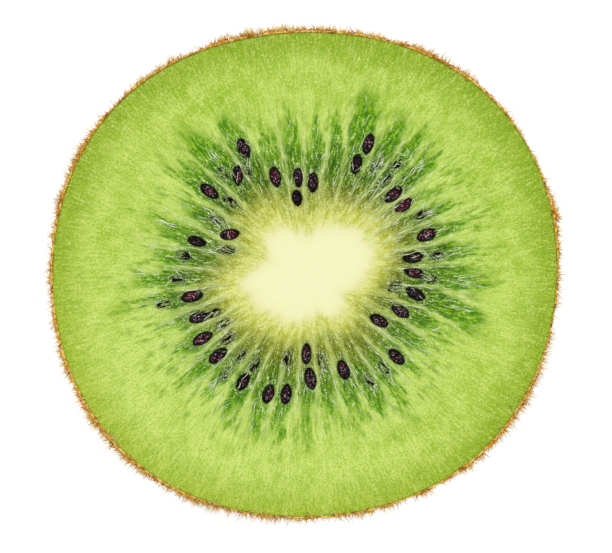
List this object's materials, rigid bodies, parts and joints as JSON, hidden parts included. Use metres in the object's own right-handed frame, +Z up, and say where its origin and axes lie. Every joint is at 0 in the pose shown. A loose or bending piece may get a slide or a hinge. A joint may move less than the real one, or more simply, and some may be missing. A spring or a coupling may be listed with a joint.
{
  "type": "kiwi fruit half",
  "caption": "Half of a green kiwi fruit, cut crosswise, lying on its rounded fuzzy end with the wet green cut face and its ring of dark seeds facing up.",
  "frame": {"origin": "on the ground, under the middle of the fruit's box", "axes": "+Z up, out of the cut face; +X along the long axis of the cut outline, turned by about nine degrees; +Y across it"},
  "size_m": [0.0508, 0.0488, 0.032],
  "materials": {
    "flesh": "wet translucent green fruit flesh with a cream core, pale rays and darker green seed chambers",
    "skin": "thin dry brown skin, mottled and finely pitted",
    "hair": "short stiff tan to golden-brown hairs",
    "seed": "glossy purplish black seed coat, finely pitted"
  },
  "bodies": {
    "root": {"kiwi_half": "flesh"}
  },
  "joints": []
}
